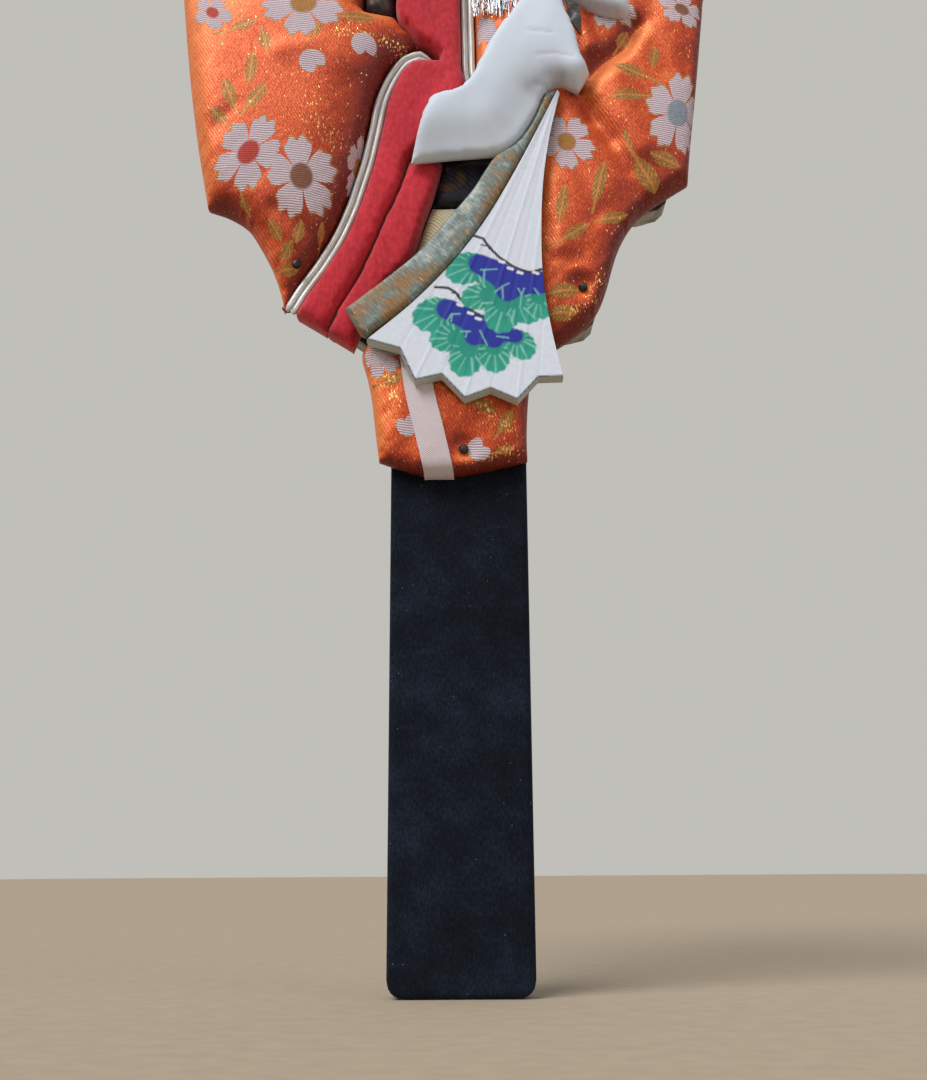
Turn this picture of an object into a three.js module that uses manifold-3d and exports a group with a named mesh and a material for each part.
// Decorative battledore: a wooden paddle with a cloth-covered handle, and on its face a raised
// picture of a dancer, built up from padded cloth pieces, each with card behind and wadding inside.
//
// Millimetres. The paddle stands upright on the end of its handle: +Z is up, the picture faces -Y.
// Every piece is drawn as it lies on the workbench, in the picture's own frame: x to the right,
// y up the board, z towards the viewer, with z = 0 in the middle of the board's thickness.

import * as THREE from "three";
import { mergeVertices } from "three/addons/utils/BufferGeometryUtils.js";
import Module from "manifold-3d";

const wasm = await Module();
wasm.setup();

// Clearances
const SEAT_GAP = 0.3; // between a piece and what it lies on
const SEAM_GAP = 0.5; // between two pieces that meet side by side

// Board
const BOARD_THICKNESS = 10;
const BOARD_TOP = 452; // height of the crown of the top edge
const BOARD_TOP_RISE = 12; // how far the top edge is arched
const BOARD_TOP_HALF_WIDTH = 70;
const BLADE_FOOT_HALF_WIDTH = 63; // at the upper of the two cusps
const BLADE_FOOT = 221; // height of the upper cusps
const MIDDLE_HALF_WIDTH = 40; // at the lower cusps
const MIDDLE_FOOT = 182; // height of the lower cusps
const MIDDLE_STEP = 12; // from a lower cusp to the scoop above it
const CUSP_ROUND = 6; // the cusps are rounded off
const NECK_HEIGHT = 150; // where the handle begins to widen
const BOARD_EDGE_ROUND = 0.8;

// Handle and its cloth cover
const HANDLE_WIDTH = 38; // outside the cloth
const HANDLE_CORNER = 4.5;
const VELVET_THICKNESS = 0.6;
const VELVET_TOP = 147;
const LINING_THICKNESS = 0.8;
const LINING_MARGIN = 3;
const LINING_FOOT = 160;

// Heights of the padded pieces above the middle of the board
const PAD_TOP = 14.7; // pieces that carry others lie this high
const SLEEVE_TOP = 18.5;
const LOW_TOP = 9.5; // pieces that lie deep in the picture
const HAIR_TOP = 20;
const FACE_TOP = 26;
const HAND_THICKNESS = 9.5;
const PAD_EDGE = 3.2; // straight wall round a padded piece
const CARD_THICKNESS = 1.5;
const CARD_MARGIN = 1.6; // cloth folded round the card's edge

// Cords, ribbon, fan, fringes and nails
const CORD_DIAMETER = 1.8;
const RIBBON_WIDTH = 8;
const RIBBON_THICKNESS = 0.7;
const FAN_THICKNESS = 3.2;
const FAN_PLEATS = 8;
const FAN_FOLD = 0.9; // depth of a pleat at the open edge
const FAN_ZIGZAG = 2.2; // reach of a pleat's point along the fan
const FAN_BULGE = 9.6; // how far the open edge is arched
const GUARD_THICKNESS = 4.6;
const FRINGE_STRIPS = 9;
const FRINGE_STRIP_WIDTH = 1.3;
const FRINGE_FOIL = 0.6;
const FRINGE_BAR = 1.8;
const CHEST_FRINGE_LENGTH = 19.6;
const HAIR_FRINGE_LENGTH = 21;
const NAIL_HEAD = 2.8;
const NAIL_HEAD_HEIGHT = 1.2;
const NAIL_SHANK = 1.1;
const NAIL_BITE = 5; // length of shank in the wood
const PIN_DIAMETER = 4.4; // the bar through the hair
const PIN_LENGTH = 108;
const FLOWER_THICKNESS = 3.4;

// Mesh fineness
const STEP = 6.5; // along an outline
const FINE_STEP = 4;
const ROUND_SIDES = 12;

const BOARD_FRONT = BOARD_THICKNESS / 2;
const PAD_BACK = BOARD_FRONT + SEAT_GAP;
const UPPER_BACK = PAD_TOP + SEAT_GAP; // underside of what lies on the pads
const ORNAMENT_BACK = HAIR_TOP + SEAT_GAP;
const VELVET_OUT = BOARD_FRONT + SEAT_GAP + VELVET_THICKNESS; // half the covered handle's thickness
const HEM_BACK = VELVET_OUT + SEAT_GAP;
const HANDLE_CORE = HANDLE_WIDTH / 2 - VELVET_THICKNESS - SEAT_GAP; // half width of the wood

const COLOURS = {
  wood: 0xb9a489, velvet: 0x14161c, paper: 0xd9cfbd, card: 0x8d8672, brocade: 0xc8501f,
  red: 0xb81f2b, navy: 0x2b3040, cream: 0xd9cfa6, silver: 0xc3c6c4, skin: 0xe9edf3, fan: 0xe6e9ee,
  guard: 0x7d7666, ribbon: 0xd8c6cf, foil: 0xc9ccd0, collar: 0xd6d9e2, hair: 0x121214, gold: 0xb8913c,
  blossom: 0xe2c5d2, iron: 0x1c1b1b, lacquer: 0x201c1a,
};
const FINISHES = {
  wood: [0.7, 0], velvet: [0.95, 0], paper: [0.9, 0], card: [0.9, 0], brocade: [0.45, 0.3], red: [0.85, 0],
  navy: [0.6, 0.1], cream: [0.8, 0], silver: [0.5, 0.3], skin: [0.6, 0], fan: [0.6, 0], guard: [0.5, 0.4],
  ribbon: [0.7, 0], foil: [0.25, 0.9], collar: [0.7, 0], hair: [0.4, 0], gold: [0.3, 0.9],
  blossom: [0.7, 0], iron: [0.5, 0.6], lacquer: [0.3, 0],
};

// Helpers for outlines

const point = (x, y) => new THREE.Vector2(x, y);
const points = (...pairs) => pairs.map(([x, y]) => point(x, y));
const curve = (...pairs) => new THREE.SplineCurve(points(...pairs));
const mirrored = (list) => list.map((p) => point(-p.x, p.y)).reverse();

// Points along a curve, each moved sideways: a positive offset lies to the left of the way the curve runs.
function along(line, offset = 0, step = STEP) {
  const count = Math.max(2, Math.round(line.getLength() / step));
  return Array.from({ length: count + 1 }, (_, i) => {
    const at = line.getPointAt(i / count);
    const way = line.getTangentAt(i / count);
    return point(at.x - way.y * offset, at.y + way.x * offset);
  });
}

// One closed outline, anticlockwise, from runs of points. Points that nearly coincide are dropped.
function outline(...runs) {
  const ring = [];
  for (const p of runs.flat()) {
    if (!ring.length || ring[ring.length - 1].distanceTo(p) > SEAT_GAP) ring.push(p);
  }
  if (ring[0].distanceTo(ring[ring.length - 1]) < SEAT_GAP) ring.pop();
  return THREE.ShapeUtils.isClockWise(ring) ? ring.reverse() : ring;
}

// Where a polyline comes nearest to a point.
function nearest(line, p) {
  let best = line[0];
  for (let i = 0; i + 1 < line.length; i++) {
    const run = line[i + 1].clone().sub(line[i]);
    const share = THREE.MathUtils.clamp(p.clone().sub(line[i]).dot(run) / run.lengthSq(), 0, 1);
    const at = line[i].clone().addScaledVector(run, share);
    if (at.distanceTo(p) < best.distanceTo(p)) best = at;
  }
  return best;
}

// Helpers for solids

// A closed mesh from rings of equal length, stacked from the back of the piece to its front.
function stacked(rings) {
  const size = rings[0].length;
  const flat = (ring) => ring.map((p) => point(p.x, p.y));
  const faces = [];
  rings.slice(1).forEach((_, k) => {
    for (let i = 0; i < size; i++) {
      const j = (i + 1) % size;
      const [a, b, c, d] = [k * size + i, k * size + j, (k + 1) * size + j, (k + 1) * size + i];
      faces.push(a, b, c, a, c, d);
    }
  });
  const last = (rings.length - 1) * size;
  for (const [a, b, c] of THREE.ShapeUtils.triangulateShape(flat(rings[0]), [])) faces.push(c, b, a);
  for (const [a, b, c] of THREE.ShapeUtils.triangulateShape(flat(rings.at(-1)), [])) {
    faces.push(last + a, last + b, last + c);
  }
  const geometry = new THREE.BufferGeometry().setFromPoints(rings.flat());
  geometry.setIndex(faces);
  return geometry;
}

// A padded piece: a straight wall round its outline, then a crown that swells towards its spine.
// Where the piece is narrower than "full" on each side of the spine, it swells less.
const CROWN = [[0, 0], [0.16, 0.52], [0.42, 0.86], [0.72, 1]]; // share of the way in, share of the height
function pad(ring, spine, { back = PAD_BACK, top = PAD_TOP, edge = PAD_EDGE, full = 5 } = {}) {
  const rise = top - back - edge;
  const rings = [ring.map((p) => new THREE.Vector3(p.x, p.y, back))];
  for (const [way, height] of CROWN) {
    rings.push(ring.map((p) => {
      const middle = nearest(spine, p);
      const swell = Math.sqrt(Math.min(1, p.distanceTo(middle) / full));
      const at = p.clone().lerp(middle, way);
      return new THREE.Vector3(at.x, at.y, back + edge + rise * height * swell);
    }));
  }
  return stacked(rings);
}

// A flat plate of an outline.
function plate(ring, back, thickness) {
  return stacked([back, back + thickness].map((z) => ring.map((p) => new THREE.Vector3(p.x, p.y, z))));
}

// A round bar between two points.
function bar(from, to, diameter, sides = ROUND_SIDES) {
  const run = to.clone().sub(from);
  const geometry = new THREE.CylinderGeometry(diameter / 2, diameter / 2, run.length(), sides);
  geometry.applyQuaternion(
    new THREE.Quaternion().setFromUnitVectors(new THREE.Vector3(0, 1, 0), run.clone().normalize()));
  return geometry.translate(...from.clone().add(to).multiplyScalar(0.5));
}

function solid(geometry) {
  const bare = geometry.index ? geometry.toNonIndexed() : geometry.clone();
  const merged = mergeVertices(
    new THREE.BufferGeometry().setAttribute("position", bare.getAttribute("position")), 1e-4);
  return new wasm.Manifold(new wasm.Mesh({
    numProp: 3,
    vertProperties: merged.getAttribute("position").array,
    triVerts: new Uint32Array(merged.index.array),
  }));
}

function geometryOf(made) {
  const mesh = made.getMesh();
  const geometry = new THREE.BufferGeometry();
  geometry.setAttribute("position", new THREE.BufferAttribute(mesh.vertProperties.slice(), 3));
  geometry.setIndex(new THREE.BufferAttribute(mesh.triVerts.slice(), 1));
  return geometry;
}

const cut = (geometry, ...tools) =>
  geometryOf(tools.reduce((made, tool) => made.subtract(solid(tool)), solid(geometry)));
const fuse = (...list) =>
  geometryOf(list.slice(1).reduce((made, next) => made.add(solid(next)), solid(list[0])));

// The picture lies flat while it is built, and the whole is then stood up to face -Y.
const battledore = new THREE.Group();
battledore.name = "battledore";
battledore.rotation.x = Math.PI / 2;

function piece(name, finish, geometry) {
  const [roughness, metalness] = FINISHES[finish];
  const material = new THREE.MeshStandardMaterial({ color: COLOURS[finish], roughness, metalness });
  const mesh = new THREE.Mesh(geometry, material);
  mesh.name = name;
  battledore.add(mesh);
  return mesh;
}

// Nails: the picture is held to the board by small nails through its pads.
const NAILS = {
  nail_left: { at: point(-46, 199), top: 13.3 },
  nail_right: { at: point(35.6, 191.7), top: 12.8 },
  nail_hem: { at: point(1.4, 143.4), top: 12.2 },
  nail_shoulder_left: { at: point(-72, 322), top: 13.2 },
  nail_shoulder_right: { at: point(70, 322), top: 13.2 },
};
const nailBore = ({ at }, clearance = SEAT_GAP) => bar(
  new THREE.Vector3(at.x, at.y, BOARD_FRONT - NAIL_BITE - clearance),
  new THREE.Vector3(at.x, at.y, HAIR_TOP + FACE_TOP),
  NAIL_SHANK + 2 * clearance, ROUND_SIDES / 2);
// The pad is pressed down under a nail's head, so it has a round seat there.
const nailSeat = ({ at, top }) => bar(
  new THREE.Vector3(at.x, at.y, top), new THREE.Vector3(at.x, at.y, HAIR_TOP + FACE_TOP),
  NAIL_HEAD + 2 * SEAT_GAP);

// The wooden board

// Right-hand edge of the board from the foot of the handle to the top corner.
// Each scoop is a quarter ellipse.
function boardEdge(handle, foot, corner) {
  const scoop = (x0, y0, x1, y1) =>
    along(new THREE.EllipseCurve(x1, y0, x1 - x0, y1 - y0, Math.PI, Math.PI / 2, true), 0, FINE_STEP);
  const rounded = (x, y, radius) => along(
    new THREE.EllipseCurve(x - radius, y + radius, radius, radius, -Math.PI / 2, 0), 0, radius / 2);
  const shoulder = MIDDLE_HALF_WIDTH + MIDDLE_STEP / 6;
  return [
    ...rounded(handle, foot, corner),
    ...scoop(handle, NECK_HEIGHT, MIDDLE_HALF_WIDTH - CUSP_ROUND, MIDDLE_FOOT),
    ...rounded(MIDDLE_HALF_WIDTH, MIDDLE_FOOT, CUSP_ROUND),
    ...scoop(shoulder, MIDDLE_FOOT + MIDDLE_STEP, BLADE_FOOT_HALF_WIDTH - CUSP_ROUND, BLADE_FOOT),
    ...rounded(BLADE_FOOT_HALF_WIDTH, BLADE_FOOT, CUSP_ROUND),
    point(BOARD_TOP_HALF_WIDTH, BOARD_TOP - BOARD_TOP_RISE),
  ];
}

const topEdge = (inset = 0) => along(curve(
  [BOARD_TOP_HALF_WIDTH - inset, BOARD_TOP - BOARD_TOP_RISE - inset],
  [BOARD_TOP_HALF_WIDTH / 2, BOARD_TOP - BOARD_TOP_RISE / 4 - inset],
  [0, BOARD_TOP - inset],
  [-BOARD_TOP_HALF_WIDTH / 2, BOARD_TOP - BOARD_TOP_RISE / 4 - inset],
  [-BOARD_TOP_HALF_WIDTH + inset, BOARD_TOP - BOARD_TOP_RISE - inset]), 0, 2 * STEP);

const coreFoot = VELVET_THICKNESS + SEAT_GAP; // the wood stops short of the cloth under its end
const rightEdge = boardEdge(HANDLE_CORE, coreFoot, HANDLE_CORNER - VELVET_THICKNESS);
const boardRing = outline(rightEdge, topEdge(), mirrored(rightEdge));

// The board's rim is eased: its faces are a little smaller than its middle.
function eased(ring, half, round) {
  const drawnIn = ring.map((p, i) => {
    const before = ring[(i + ring.length - 1) % ring.length];
    const after = ring[(i + 1) % ring.length];
    const way = after.clone().sub(before).normalize();
    return point(p.x - way.y * round, p.y + way.x * round);
  });
  const level = (list, z) => list.map((p) => new THREE.Vector3(p.x, p.y, z));
  return stacked([
    level(drawnIn, -half), level(ring, -half + round), level(ring, half - round), level(drawnIn, half),
  ]);
}
piece("wood_board", "wood", cut(
  eased(boardRing, BOARD_FRONT, BOARD_EDGE_ROUND), ...Object.values(NAILS).map((nail) => nailBore(nail))));

// The cloth cover of the handle: a close sleeve, open at the top, folded over the end.
function handleBlock(half, foot, top, depth, corner) {
  const heel = along(
    new THREE.EllipseCurve(half - corner, foot + corner, corner, corner, -Math.PI / 2, 0), 0, corner / 2);
  return plate(outline(heel, points([half, top], [-half, top]), mirrored(heel)), -depth, 2 * depth);
}
piece("handle_velvet", "velvet", cut(
  handleBlock(HANDLE_WIDTH / 2, 0, VELVET_TOP, VELVET_OUT, HANDLE_CORNER),
  handleBlock(HANDLE_CORE + SEAT_GAP, VELVET_THICKNESS, VELVET_TOP + STEP,
    BOARD_FRONT + SEAT_GAP, HANDLE_CORNER - VELVET_THICKNESS),
  nailBore(NAILS.nail_hem)));

// Paper lining on the back of the blade.
const liningEdge = rightEdge
  .slice(0, -1) // the top corner comes with the top edge
  .filter((p) => p.y >= LINING_FOOT)
  .map((p) => point(p.x - LINING_MARGIN, p.y + LINING_MARGIN * (p.y < BLADE_FOOT ? 1 : 0)));
piece("back_lining", "paper", plate(
  outline(points([HANDLE_CORE - LINING_MARGIN, LINING_FOOT]), liningEdge, topEdge(LINING_MARGIN),
    mirrored(liningEdge), points([-HANDLE_CORE + LINING_MARGIN, LINING_FOOT])),
  -BOARD_FRONT - SEAT_GAP - LINING_THICKNESS, LINING_THICKNESS));

// A padded piece with a card let into its back. The card is the pad's own outline, drawn in.
function cardedPad(name, finish, ring, spine, options = {}) {
  const { back = PAD_BACK } = options;
  const nails = Object.values(NAILS).filter((nail) => inside(nail.at, ring));
  const drawn = (margin) => ring.map((p) => {
    const middle = nearest(spine, p);
    const reach = p.distanceTo(middle);
    return p.clone().lerp(middle, Math.min(0.6, margin / reach));
  });
  const bores = nails.map((nail) => nailBore(nail));
  const card = plate(drawn(CARD_MARGIN + SEAT_GAP), back, CARD_THICKNESS);
  const pocket = plate(drawn(CARD_MARGIN), back - 1, CARD_THICKNESS + SEAT_GAP + 1);
  piece(name, finish, cut(pad(ring, spine, options), pocket, ...bores, ...nails.map(nailSeat)));
  piece(name + "_card", "card", bores.length ? cut(card, ...bores) : card);
}

// Whether a point lies inside an outline.
function inside(p, ring) {
  let found = false;
  ring.forEach((a, i) => {
    const b = ring[(i + 1) % ring.length];
    const crossing = ((b.x - a.x) * (p.y - a.y)) / (b.y - a.y) + a.x;
    if ((a.y > p.y) !== (b.y > p.y) && p.x < crossing) found = !found;
  });
  return found;
}

// The left sleeve, its corded edge and its red lining

// The line between the two cords that edge the sleeve's opening, from its hem up to the hooked tip.
const cuffLine = curve(
  [-48, 186], [-44.4, 192.5], [-38.9, 201], [-33.9, 210.5], [-30.3, 220.2], [-26.9, 232],
  [-24.4, 244], [-22.5, 254.3], [-19.5, 262.2], [-15.7, 268], [-11.2, 270.2], [-7.6, 268.6]);
const CORD_HALF = CORD_DIAMETER + SEAT_GAP / 2 + SEAT_GAP; // from that line to the cloth on each side
// Where the two layers of the red lining meet.
const liningFold = curve(
  [-37.3, 179.4], [-35.1, 184.3], [-29.8, 193.9], [-25.1, 204.7], [-20.9, 215.6],
  [-17.4, 223.4], [-14.5, 233]);
const sleeveSeam = curve([-85, 299], [-70, 295.5], [-48, 293.5], [-28.4, 297]);

cardedPad("left_sleeve", "brocade", outline(
  along(cuffLine, CORD_HALF).filter((p) => p.x < -12),
  points([-11.6, 273.8], [-14, 276.8], [-18.6, 284], [-28.4, 284.5]),
  along(sleeveSeam, -SEAM_GAP / 2).reverse(),
  along(curve([-84.1, 291.7], [-81, 265.5], [-77.4, 241.5], [-73.3, 220.1])),
  along(curve([-73.3, 220.1], [-62.8, 215.1], [-56, 205], [-51.9, 195.5], [-50, 188.6])),
), points([-45, 203], [-51, 222], [-55, 250], [-55, 278]), { top: SLEEVE_TOP, full: 16 });

// A cord laid along a line, off to one side of it.
function cord(line, offset, height, step = FINE_STEP) {
  const path = new THREE.CatmullRomCurve3(
    along(line, offset, step).map((p) => new THREE.Vector3(p.x, p.y, height)));
  const section = new THREE.Shape();
  section.absarc(0, 0, CORD_DIAMETER / 2, 0, 2 * Math.PI);
  return new THREE.ExtrudeGeometry(section, {
    steps: Math.round(path.getLength() / step), curveSegments: 3, extrudePath: path, bevelEnabled: false,
  });
}
const CORD_HEIGHT = PAD_BACK + PAD_EDGE + CORD_DIAMETER / 2;
const CORD_SIDE = (CORD_DIAMETER + SEAT_GAP) / 2;
piece("cuff_cord_outer", "silver", cord(cuffLine, CORD_SIDE, CORD_HEIGHT));
piece("cuff_cord_inner", "silver", cord(cuffLine, -CORD_SIDE, CORD_HEIGHT));

// The upright edge of the opening, right of the red lining.
const collarLine = curve([4.8, 258.8], [3.8, 263.4], [3.5, 273], [3.3, 290], [3.6, 302]);
piece("collar_cord_outer", "silver", cord(collarLine, -CORD_SIDE, CORD_HEIGHT));
piece("collar_cord_inner", "silver", cord(collarLine, CORD_SIDE, CORD_HEIGHT));

piece("red_lining", "red", pad(outline(
  along(cuffLine, -CORD_HALF),
  points([-5.4, 267], [-5, 269.6], [-8, 272.3], [-11.1, 274.3], [-13.4, 277.1], [-18, 284.2], [-18, 292]),
  points([-15.4, 302.6], [-12.9, 305.2], [0.6, 305.2]),
  along(collarLine, CORD_HALF).reverse(),
  points([-2, 249], [-9.5, 240]),
  along(liningFold, SEAM_GAP / 2).reverse(),
), points([-39, 187], [-29, 206], [-20.5, 230], [-13, 248], [-4, 258], [-1.6, 268], [-7, 282], [-8, 300])));

const liningRight = curve(
  [-29.8, 174.6], [-23.4, 189.5], [-14, 201.7], [-9.5, 215.8], [-6.9, 223.6], [-4.5, 233]);
piece("red_band_inner", "red", pad(
  outline(along(liningFold, -SEAM_GAP / 2), along(liningRight).reverse()),
  points([-31.5, 180], [-25.5, 193.5], [-16.5, 210.5], [-10.5, 227.5])));

// The sash and the pieces that lie deep under the fan
piece("obi", "navy", pad(
  outline(points([-27.9, 285.1], [-19, 284.6], [-18.6, 292], [-16, 303], [-13.9, 309], [-27.9, 309])),
  points([-23.3, 289], [-21.4, 305]), { top: PAD_TOP - 2 }));
piece("navy_panel", "navy", pad(
  outline(points([-4, 235], [16.5, 236], [12.5, 227], [6.2, 220.7], [-7.2, 220.7])),
  points([0, 228], [8, 230]), { top: LOW_TOP, edge: PAD_EDGE / 2 }));
piece("cream_panel", "cream", pad(
  outline(points([-7.4, 220.1], [5.4, 220.1], [-0.8, 208.5], [-9, 198], [-13.1, 202.4], [-9, 215.8])),
  points([-1, 216.6], [-8.8, 205.4]), { top: LOW_TOP, edge: PAD_EDGE / 2 }));

// The right sleeve
const rightSeam = curve([5.8, 302.6], [28, 296], [52, 294.5], [78.4, 299]);
cardedPad("right_sleeve", "brocade", outline(
  along(collarLine, -CORD_HALF),
  along(rightSeam, -SEAM_GAP / 2).slice(1),
  along(curve([76.1, 290.6], [72.3, 260], [69.4, 239], [68.1, 227.4])),
  along(curve([68.1, 227.4], [53.5, 216.9], [46.6, 205.7], [42.7, 193], [37.8, 183], [27.4, 174.8])),
  along(curve([23.6, 177], [21.6, 191], [21, 207], [22.8, 232], [18, 245], [9, 254])),
), points([32, 186], [38, 206], [46, 235], [42, 262], [36, 286]));

// The hem that is wrapped over the top of the handle, and the ribbon that crosses it
const HEM_TOP = UPPER_BACK - SEAT_GAP - RIBBON_THICKNESS - SEAT_GAP;
const hemHalf = HANDLE_WIDTH / 2;
const HEM_FOOT = 137;
cardedPad("hem_wrap", "brocade", outline(
  along(curve([-hemHalf - 3, 141.2], [-9.9, 137.2], [-1.9, HEM_FOOT], [7, 138.3], [hemHalf, 141.2])),
  along(curve([hemHalf, 142], [hemHalf, 151], [hemHalf + 1, 163], [hemHalf + 3, 172])),
  along(curve([hemHalf + 3, 173.4], [6, 184], [-8, 187], [-19, 184], [-26, 175.4])),
  along(curve([-27.2, 172.4], [-24.6, 161.4], [-23.1, 149.5], [-hemHalf - 3, 141.2])),
), points([-1, 148], [-1, 168]), { back: HEM_BACK, top: HEM_TOP, full: 12 });

// A band laid over a pad. Each station gives the share of the way along its line, and the height there.
function laidBand(line, stations, width, thickness) {
  const corners = stations.flatMap(([share, z]) => {
    const at = line.getPointAt(share);
    const way = line.getTangentAt(share).multiplyScalar(width / 2);
    return [[1, 0], [-1, 0], [-1, thickness], [1, thickness]].map(([side, up]) =>
      new THREE.Vector3(at.x - way.y * side, at.y + way.x * side, z + up));
  });
  const faces = [];
  const quad = (a, b, c, d) => faces.push(a, b, c, a, c, d);
  for (let k = 0; k + 4 < corners.length; k += 4) {
    for (let i = 0; i < 4; i++) {
      const j = (i + 1) % 4;
      quad(k + i, k + i + 4, k + j + 4, k + j);
    }
  }
  const end = corners.length - 4;
  quad(0, 1, 2, 3);
  quad(end + 3, end + 2, end + 1, end);
  const geometry = new THREE.BufferGeometry().setFromPoints(corners);
  geometry.setIndex(faces);
  return geometry;
}
const ribbonLine = curve([-12.4, 171], [-10.6, 159], [-8, 148], [-5.5, HEM_FOOT + 0.6]);
const ribbonLength = ribbonLine.getLength();
const HEM_REACH = 6.5; // how far in from the hem's edge the ribbon has risen to the top
const RIBBON_END = 0.42; // share of the hem's crown that its end has come down to
const hemSeat = HEM_BACK + PAD_EDGE + SEAT_GAP;
const hemRise = HEM_TOP - HEM_BACK - PAD_EDGE;
piece("hem_ribbon", "ribbon", laidBand(ribbonLine, [
  [0, HEM_TOP + SEAT_GAP],
  ...CROWN.slice(1).reverse().map(([way, height]) => [
    1 - (way * HEM_REACH) / ribbonLength, hemSeat + hemRise * height]),
  [1, hemSeat + hemRise * RIBBON_END],
], RIBBON_WIDTH, RIBBON_THICKNESS));

// The hand, with one finger stretched out
piece("hand", "skin", pad(outline(
  along(curve([-13.7, 232.2], [-12.3, 238.5], [-10.2, 245.8], [-5.6, 251], [3, 253.6])),
  along(curve([3, 253.6], [7.4, 261.6], [15.6, 274.8], [21.4, 284], [27, 289.6])),
  points([31.2, 289], [31.6, 283.2], [32.8, 277.2], [34.8, 271], [38, 261.3]),
  points([38.8, 258.6], [36.6, 254.4], [34.8, 253.6], [31.7, 255.4], [28.7, 254.7]),
  along(curve([25, 252.6], [22.8, 246.9], [17.2, 236.9], [7.2, 232.1], [-13.7, 232.2])),
), points([-6, 241], [10, 250], [24, 271], [27.5, 282]),
{ back: UPPER_BACK, top: UPPER_BACK + HAND_THICKNESS, edge: 2, full: 8 }));
piece("index_finger", "skin", pad(
  outline(along(curve([32.4, 284.4], [38.1, 281.7], [45, 278.9], [50.4, 278.5], [52.1, 281], [49, 285.8],
    [40.6, 290.2], [32.4, 291.6]), 0, FINE_STEP)),
  points([35.6, 287.4], [48.6, 282]), { back: UPPER_BACK, top: UPPER_BACK + 6.5, edge: 1.6, full: 4 }));

// The folding fan: a pleated leaf between two bowed edges, with a padded guard along the left one
const fanLeft = curve(
  [29.4, 252.2], [26.9, 246.6], [17.7, 227.8], [9.7, 213], [1.7, 200.8], [-12, 185.2], [-25.4, 174.6]);
const fanRight = curve(
  [30, 251.2], [26.1, 233.3], [24, 214], [24, 191.1], [26.1, 175.5], [28.8, 161.6]);

// A leaf of folded card: lines run from the pivot to the open edge, and every other one stands proud.
function fanLeaf(rows = 6) {
  const last = 1 + FAN_PLEATS;
  const at = (row, line) => {
    const [t, s] = [row / rows, line / FAN_PLEATS];
    const spot = fanLeft.getPointAt(t).lerp(fanRight.getPointAt(t), s);
    if (row === rows) {
      const tip = line % 2 ? -1 : 1;
      const ends = line === 0 || line === FAN_PLEATS ? 0 : tip * FAN_ZIGZAG;
      spot.y -= 4 * FAN_BULGE * s * (1 - s) + ends;
    }
    return spot;
  };
  const layer = (z, proud) => Array.from({ length: rows + 1 }, (_, row) =>
    Array.from({ length: last }, (_, line) => {
      const spot = at(row, line);
      const fold = (line % 2) * proud * (row / rows);
      return new THREE.Vector3(spot.x, spot.y, z + fold);
    })).flat();
  const back = layer(UPPER_BACK, 0);
  const front = layer(UPPER_BACK + FAN_THICKNESS - FAN_FOLD, FAN_FOLD);
  const faces = [];
  const quad = (a, b, c, d) => faces.push(a, b, c, a, c, d);
  const count = back.length;
  for (let row = 0; row < rows; row++) {
    for (let line = 0; line < FAN_PLEATS; line++) {
      const a = row * last + line;
      quad(a, a + 1, a + last + 1, a + last);
      quad(count + a, count + a + last, count + a + last + 1, count + a + 1);
    }
    const [l, r] = [row * last, row * last + FAN_PLEATS];
    quad(l, l + last, count + l + last, count + l);
    quad(r, count + r, count + r + last, r + last);
  }
  for (let line = 0; line < FAN_PLEATS; line++) {
    const [top, foot] = [line, rows * last + line];
    quad(top, count + top, count + top + 1, top + 1);
    quad(foot, foot + 1, count + foot + 1, count + foot);
  }
  const geometry = new THREE.BufferGeometry().setFromPoints([...back, ...front]);
  geometry.setIndex(faces);
  return geometry;
}
piece("fan_leaf", "fan", fanLeaf());

const guardUpper = curve(
  [25.8, 251.4], [23.8, 245.8], [18.5, 236.2], [10.6, 230.2], [5.4, 221.3], [-2.7, 210.8],
  [-12.6, 198.9], [-31.3, 183.2]);
piece("fan_guard", "guard", pad(
  outline(along(fanLeft, -SEAM_GAP), points([-27, 175.6]), along(guardUpper).reverse()),
  points([25.4, 247.4], [11.4, 222.4], [-6, 198.6], [-26.4, 181]),
  { back: UPPER_BACK, top: UPPER_BACK + GUARD_THICKNESS, edge: 1.6, full: 3.5 }));
piece("fan_rib_end", "lacquer", plate(
  outline(points([33, 283.2], [36.6, 281.6], [37.2, 277], [36.6, 272], [33.6, 277.4])),
  UPPER_BACK, FAN_THICKNESS));

// Collars: bands that run down from the neck, the right-hand ones over the left
const LAPEL_FOOT = 305.8; // where the right-hand collar ends
const LAPEL_HEIGHT = 42.7;
const LAPEL_INSIDE = 13; // half the opening at the neck
const LAPEL_CROSSING = 11.67; // how far past the middle the right-hand under-collar ends
const UNDER_COLLAR_LIFT = 7.2; // its end lies this much higher than the collar's
const LAPEL_HEAD = LAPEL_FOOT + LAPEL_HEIGHT;
const UNDER_COLLAR_FOOT = LAPEL_FOOT + UNDER_COLLAR_LIFT;
// Sideways run for each millimetre down
const LAPEL_SLOPE = (LAPEL_INSIDE + LAPEL_CROSSING) / (LAPEL_HEAD - UNDER_COLLAR_FOOT);
const UNDER_COLLAR_WIDTH = 6.1; // measured level
const COLLAR_WIDTH = 10.4;
const LAPEL_GAP = SEAM_GAP * Math.hypot(1, LAPEL_SLOPE);
const lapelX = (start, y) => start - LAPEL_SLOPE * (LAPEL_HEAD - y);
const collarStart = LAPEL_INSIDE + UNDER_COLLAR_WIDTH + LAPEL_GAP;
const shoulderStart = collarStart + COLLAR_WIDTH + LAPEL_GAP;
// Height at which a left-hand edge meets the inside of the right-hand band.
const meeting = (start) => LAPEL_HEAD - (LAPEL_INSIDE - LAPEL_GAP + start) / (2 * LAPEL_SLOPE);

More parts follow.
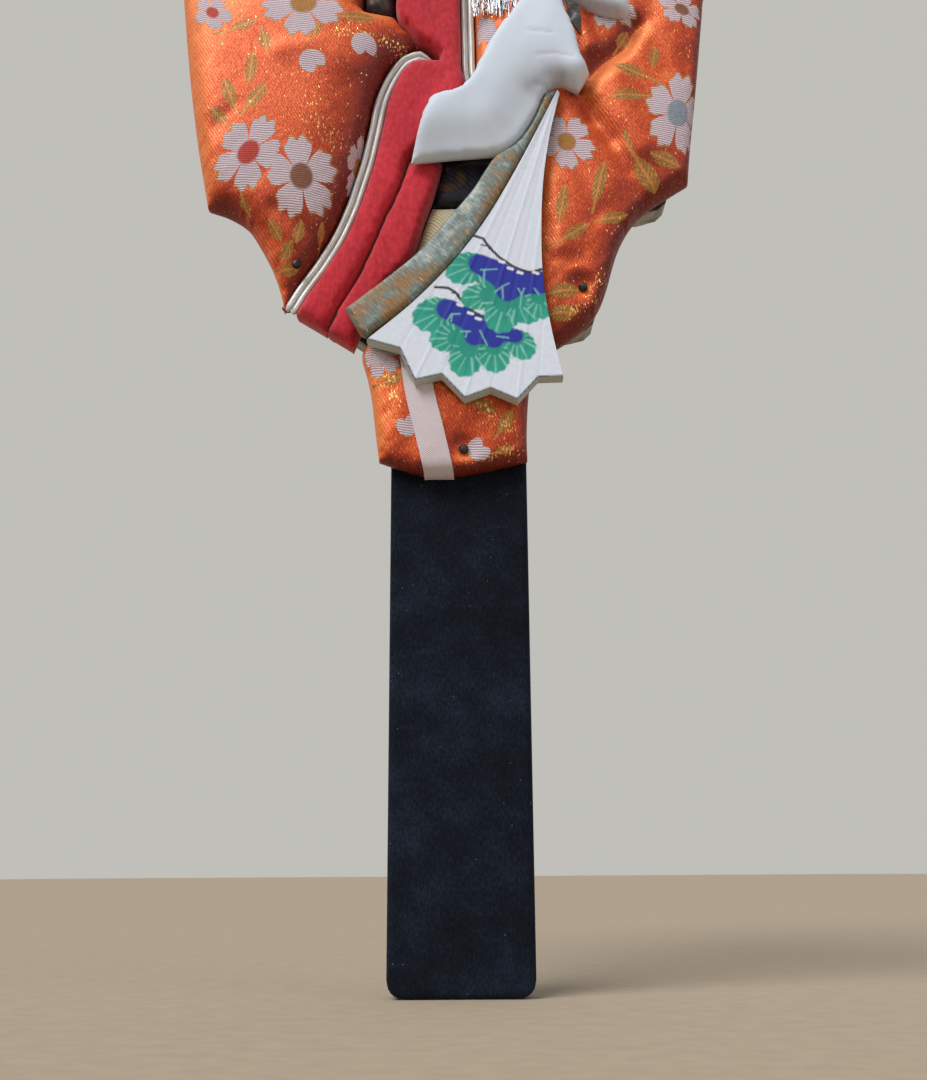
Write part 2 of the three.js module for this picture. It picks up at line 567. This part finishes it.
function rightBand(start, width, foot) {
  return {
    ring: outline(points([start, LAPEL_HEAD], [start + width, LAPEL_HEAD],
      [lapelX(start + width, foot), foot], [lapelX(start, foot), foot])),
    spine: points([lapelX(start + width / 2, LAPEL_HEAD - 5), LAPEL_HEAD - 5],
      [lapelX(start + width / 2, foot + 5), foot + 5]),
  };
}
function leftBand(start, width) {
  const [high, low] = [meeting(start), meeting(start + width)];
  return {
    ring: outline(points([-start, LAPEL_HEAD], [-lapelX(start, high), high],
      [-lapelX(start + width, low), low], [-start - width, LAPEL_HEAD])),
    spine: points([-lapelX(start + width / 2, LAPEL_HEAD - 5), LAPEL_HEAD - 5],
      [-lapelX(start + width / 2, high), high]),
  };
}
const collars = {
  under_collar_right: ["collar", rightBand(LAPEL_INSIDE, UNDER_COLLAR_WIDTH, UNDER_COLLAR_FOOT)],
  collar_right: ["red", rightBand(collarStart, COLLAR_WIDTH, LAPEL_FOOT)],
  under_collar_left: ["collar", leftBand(LAPEL_INSIDE, UNDER_COLLAR_WIDTH)],
  collar_left: ["red", leftBand(collarStart, COLLAR_WIDTH)],
};
for (const [name, [finish, { ring, spine }]] of Object.entries(collars)) {
  const top = name.startsWith("under") ? PAD_TOP - 2.4 : PAD_TOP - 0.8;
  piece(name, finish, pad(ring, spine, { top, full: 3 }));
}

// Shoulders, neck and head are placed by their rise over the top of the collars.
const raised = (pairs) => pairs.map(([x, rise]) => [x, LAPEL_HEAD + rise]);
const headCurve = (...pairs) => curve(...raised(pairs));
const headPoints = (...pairs) => points(...raised(pairs));

// Shoulders
const SHOULDER_FOOT = LAPEL_FOOT - SEAT_GAP;
const shoulderLow = meeting(shoulderStart);
cardedPad("left_shoulder", "brocade", outline(
  along(curve([-85.4, 300], [-86, 311], [-82, LAPEL_HEAD - 25.5], [-70, LAPEL_HEAD - 14.5],
    [-52, LAPEL_HEAD - 7], [-shoulderStart, LAPEL_HEAD])),
  points([-lapelX(shoulderStart, shoulderLow), shoulderLow], [-14.4, 313], [-14, 309.6], [-28.4, 309.6]),
  along(sleeveSeam, SEAM_GAP / 2).reverse(),
), points([-64, 314], [-40, 324]), { full: 14 });
cardedPad("right_shoulder", "brocade", outline(
  along(curve([79, 300], [82.6, 311], [79.6, LAPEL_HEAD - 25.5], [69, LAPEL_HEAD - 14.5],
    [52, LAPEL_HEAD - 7], [shoulderStart, LAPEL_HEAD])),
  points([lapelX(shoulderStart, SHOULDER_FOOT), SHOULDER_FOOT]),
  along(rightSeam, SEAM_GAP / 2),
), points([24, 310], [58, 318]), { full: 14 });

// The box purse tucked into the collar, and the foil fringe that hangs from it
const PURSE_LEFT = 4.6;
const PURSE_WIDTH = 18;
const PURSE_HEIGHT = 11.4;
const PURSE_DROP = 3.2; // from the collar's end down to the purse's lower edge
const purseFoot = LAPEL_FOOT - PURSE_DROP;
const purse = {
  left: PURSE_LEFT, right: PURSE_LEFT + PURSE_WIDTH, foot: purseFoot, head: purseFoot + PURSE_HEIGHT,
};
const purseMiddle = purse.foot + PURSE_HEIGHT / 2;
piece("box_purse", "red", pad(
  outline(points([purse.left, purse.foot], [purse.right, purse.foot], [purse.right, purse.head],
    [purse.left, purse.head])),
  points([purse.left + 5, purseMiddle], [purse.right - 5, purseMiddle]),
  { back: UPPER_BACK, top: UPPER_BACK + 4.2, edge: 1.8, full: 4 }));

// Foil strips on a bar: they hang by their upper ends and sway together.
function fringe(left, right, head, length, back) {
  const middle = back + FRINGE_BAR / 2;
  const beam = bar(
    new THREE.Vector3(left, head, middle), new THREE.Vector3(right, head, middle), FRINGE_BAR);
  const pitch = (right - left - FRINGE_STRIP_WIDTH) / (FRINGE_STRIPS - 1);
  const strips = Array.from({ length: FRINGE_STRIPS }, (_, i) => {
    const strip = new THREE.BoxGeometry(FRINGE_STRIP_WIDTH, length, FRINGE_FOIL);
    const uneven = i % 2 ? 1 : 0; // every other strip is cut a little shorter
    strip.scale(1, 1 - 0.08 * uneven, 1);
    const drop = (length * (1 - 0.08 * uneven)) / 2;
    return strip.translate(left + FRINGE_STRIP_WIDTH / 2 + i * pitch, head - drop, middle);
  });
  return fuse(beam, ...strips);
}
piece("chest_fringe", "foil", fringe(
  purse.left, purse.right - 4, purse.foot - SEAT_GAP - FRINGE_BAR / 2, CHEST_FRINGE_LENGTH, UPPER_BACK));

// Neck, face and hair
const jaw = headCurve([0, 9], [10.5, 12.1], [18.5, 21.1], [22.6, 34.5], [22.4, 49.5], [17, 62.9]);
const brow = headCurve([17, 62.9], [9, 69.5], [0, 71.3]);
const faceSide = [...along(jaw, 0, FINE_STEP), ...along(brow, 0, FINE_STEP).slice(1)];
piece("face", "skin", pad(
  outline(faceSide, mirrored(faceSide)), headPoints([0, 28.5], [0, 51.5]),
  { top: FACE_TOP, edge: 9, full: 14 }));
const chin = along(jaw, -SEAM_GAP, FINE_STEP).filter((p) => p.y < LAPEL_HEAD + 12.5);
const neckSide = headPoints([11.4, 4], [LAPEL_INSIDE - LAPEL_GAP, 0]);
const throat = LAPEL_HEAD - (LAPEL_INSIDE - LAPEL_GAP) / LAPEL_SLOPE;
piece("neck", "skin", pad(
  outline(mirrored(chin), chin, neckSide, points([0, throat + SEAM_GAP]), mirrored(neckSide)),
  headPoints([0, -9.5], [0, 3.5]), { top: PAD_TOP - 1.6, full: 9 }));

const hairPad = { top: HAIR_TOP, edge: 6, full: 9 };
const templeSide = along(jaw, -SEAM_GAP, FINE_STEP).filter((p) => p.y > LAPEL_HEAD + 20.5);
const lock = outline(templeSide, along(headCurve(
  [18.6, 64.7], [30, 70.9], [44, 69.1], [54, 59.5], [57, 45.5], [52, 31.5], [42, 22.9], [30, 19.3],
  [19.6, 20.1])));
piece("hair_side_right", "hair", pad(lock, headPoints([38, 35.5], [36, 57.5]), hairPad));
piece("hair_side_left", "hair", pad(
  outline(mirrored(lock)), headPoints([-38, 35.5], [-36, 57.5]), hairPad));

const frontTop = headCurve([28.4, 73.1], [24, 83.5], [12, 91.5], [0, 93.5]);
const frontSide = [...headPoints([18, 65.5]), ...along(frontTop)];
const forehead = along(brow, -SEAM_GAP, FINE_STEP).reverse();
piece("hair_front", "hair", pad(
  outline(forehead, frontSide, mirrored(frontSide), mirrored(forehead)),
  headPoints([-15, 78], [0, 82.5], [15, 78]), hairPad));

const nape = outline(along(headCurve(
  [13, 3.1], [13.6, 13.5], [20, 17.9], [30, 18.1], [36.5, 12.5], [34, 4.1], [24, 1.1],
  [13, 3.1]), 0, FINE_STEP));
const napePad = { top: PAD_TOP, full: 7 };
piece("hair_nape_right", "hair", pad(nape, headPoints([20, 9.5], [29, 10.1]), napePad));
piece("hair_nape_left", "hair", pad(
  outline(mirrored(nape)), headPoints([-29, 10.1], [-20, 9.5]), napePad));

const bunSide = [
  ...along(frontTop, -SEAM_GAP).reverse(),
  ...along(headCurve([29.8, 74.1], [39, 82.5], [43, 98.5], [37, 114.5], [22, 126.1], [0, 130.5])),
];
const bunSpine = headPoints([-33, 88.5], [-27, 102.5], [0, 112.5], [27, 102.5], [33, 88.5]);
const PIN_HEIGHT = 12;
const PIN_LEVEL = LAPEL_HEAD + 110.5;
const hairPin = (diameter) => bar(
  new THREE.Vector3(-PIN_LENGTH / 2, PIN_LEVEL, PIN_HEIGHT),
  new THREE.Vector3(PIN_LENGTH / 2, PIN_LEVEL, PIN_HEIGHT), diameter);
piece("hair_bun", "hair", cut(
  pad(outline(bunSide, mirrored(bunSide)), bunSpine, hairPad),
  hairPin(PIN_DIAMETER + 2 * SEAT_GAP)));
piece("hair_pin", "gold", hairPin(PIN_DIAMETER));

// Ornaments laid on the hair
piece("hair_ribbon", "red", pad(
  outline(along(headCurve([-25, 104.5], [0, 102.5], [25, 104.5])),
    along(headCurve([25, 115.5], [0, 113.5], [-25, 115.5]))),
  headPoints([-19, 109.5], [0, 108.1], [19, 109.5]),
  { back: ORNAMENT_BACK, top: ORNAMENT_BACK + 4, edge: 1.2, full: 5 }));
piece("comb", "gold", plate(
  outline(along(headCurve([-14, 83.1], [-8, 89.5], [0, 91.7], [8, 89.5], [14, 83.1])),
    along(headCurve([14, 83.1], [0, 80.9], [-14, 83.1])).slice(1)),
  ORNAMENT_BACK, 2));

// A blossom of five notched petals round a raised middle.
function blossom(x, y, radius) {
  const sides = 40;
  const ring = Array.from({ length: sides }, (_, i) => {
    const turn = (2 * Math.PI * i) / sides;
    const lobe = Math.abs(Math.cos(2.5 * turn));
    const reach = radius * (0.58 + 0.42 * Math.sqrt(lobe));
    return point(x + reach * Math.sin(turn), y + reach * Math.cos(turn));
  });
  return pad(outline(ring), points([x, y], [x, y + 0.1]),
    { back: ORNAMENT_BACK, top: ORNAMENT_BACK + FLOWER_THICKNESS, edge: 1.2, full: radius / 2 });
}
const FLOWERS = {
  flower_left: [-40, 60.5, 11], flower_left_small: [-24, 79.9, 7.5],
  flower_right: [40, 60.5, 11], flower_right_small: [24, 79.9, 7.5],
};
for (const [name, [x, rise, radius]] of Object.entries(FLOWERS)) {
  piece(name, "blossom", blossom(x, LAPEL_HEAD + rise, radius));
}

piece("hair_fringe", "foil", fringe(32.4, 47.6, LAPEL_HEAD + 49.5, HAIR_FRINGE_LENGTH, ORNAMENT_BACK));

// Nails, driven through the pads into the board
for (const [name, { at, top }] of Object.entries(NAILS)) {
  const head = new THREE.SphereGeometry(
    NAIL_HEAD / 2, ROUND_SIDES, ROUND_SIDES / 2, 0, 2 * Math.PI, 0, Math.PI / 2);
  head.rotateX(Math.PI / 2).scale(1, 1, (2 * NAIL_HEAD_HEIGHT) / NAIL_HEAD);
  const under = new THREE.CircleGeometry(NAIL_HEAD / 2, ROUND_SIDES).rotateX(Math.PI);
  const dome = [head, under].map((part) => part.toNonIndexed().getAttribute("position").array);
  const closed = new THREE.BufferGeometry().setAttribute(
    "position", new THREE.BufferAttribute(Float32Array.from([...dome[0], ...dome[1]]), 3));
  closed.translate(at.x, at.y, top + SEAT_GAP);
  const shank = bar(new THREE.Vector3(at.x, at.y, BOARD_FRONT - NAIL_BITE),
    new THREE.Vector3(at.x, at.y, top + SEAT_GAP + NAIL_HEAD_HEIGHT / 2), NAIL_SHANK, ROUND_SIDES / 2);
  piece(name, "iron", fuse(closed, shank));
}

export default battledore;
